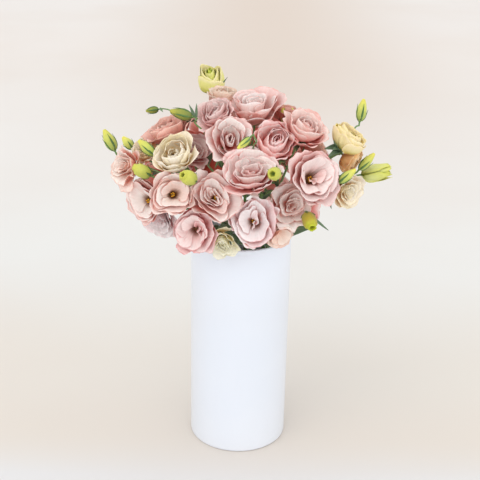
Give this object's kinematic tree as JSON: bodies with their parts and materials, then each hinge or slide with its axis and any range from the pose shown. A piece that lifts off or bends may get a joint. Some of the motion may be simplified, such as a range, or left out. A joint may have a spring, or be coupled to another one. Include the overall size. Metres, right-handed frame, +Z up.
{
  "type": "lisianthus bouquet in a cylinder vase",
  "caption": "Full mixed bunch of double lisianthus blooms and buds on cut stems, standing in a plain white glazed cylinder vase.",
  "frame": {"origin": "centre of the vase's flat underside", "axes": "+Z up along the vase's axis, -Y towards the side that the picture shows"},
  "size_m": [0.3536, 0.2701, 0.4827],
  "materials": {
    "glaze": "gloss",
    "petal_pink": "matte",
    "petal_cream": "matte",
    "bud_green": "satin",
    "foliage": "satin"
  },
  "bodies": {
    "root": {"vase": "glaze", "stem_right": "foliage", "stem_right_front": "foliage", "stem_front_right": "foliage", "stem_centre": "foliage", "stem_front_left": "foliage", "stem_left_front": "foliage", "stem_left": "foliage", "stem_back_left": "foliage", "stem_back_right": "foliage", "bloom_crown": "petal_pink", "bloom_crown_left": "petal_pink", "bloom_upper_left": "petal_pink", "bloom_centre_left": "petal_pink", "bloom_centre_right": "petal_pink", "bloom_upper_right": "petal_pink", "bloom_centre": "petal_pink", "bloom_right": "petal_pink", "bloom_mid_left": "petal_pink", "bloom_front": "petal_pink", "bloom_front_right": "petal_pink", "bloom_cream": "petal_cream", "bloom_behind_cream": "petal_pink", "bloom_shoulder_left": "petal_pink", "bloom_peach": "petal_cream", "bloom_far_left": "petal_pink", "bloom_low_left": "petal_pink", "bloom_low_left_under": "petal_pink", "bloom_throat_left": "petal_pink", "bloom_front_left": "petal_pink", "bloom_yellow_rim": "petal_cream", "bloom_low_right": "petal_pink", "bloom_far_right": "petal_cream", "bloom_far_right_under": "petal_cream", "bloom_low_right_cream": "petal_cream", "bloom_crown_right": "petal_pink", "bloom_back_crown": "petal_pink", "bloom_back_top_left": "petal_pink", "bloom_back_top_right": "petal_pink", "bloom_side_left_high": "petal_pink", "bloom_side_right_high": "petal_pink", "bloom_back_centre": "petal_pink", "bloom_back_left": "petal_pink", "bloom_back_right": "petal_pink", "bloom_side_left": "petal_pink", "bloom_side_right": "petal_pink", "bloom_back_low_left": "petal_pink", "bloom_back_low_mid_left": "petal_pink", "bloom_back_low_mid_right": "petal_pink", "bloom_back_low_right": "petal_pink", "bud_far_left": "bud_green", "bud_left_upper": "bud_green", "bud_left_round": "bud_green", "bud_left_inner": "bud_green", "bud_centre": "bud_green", "bud_right_inner": "bud_green", "bud_right_large": "bud_green", "bud_right_tall": "bud_green", "bud_low_right": "bud_green", "bud_opening_top": "bud_green"}
  },
  "joints": []
}
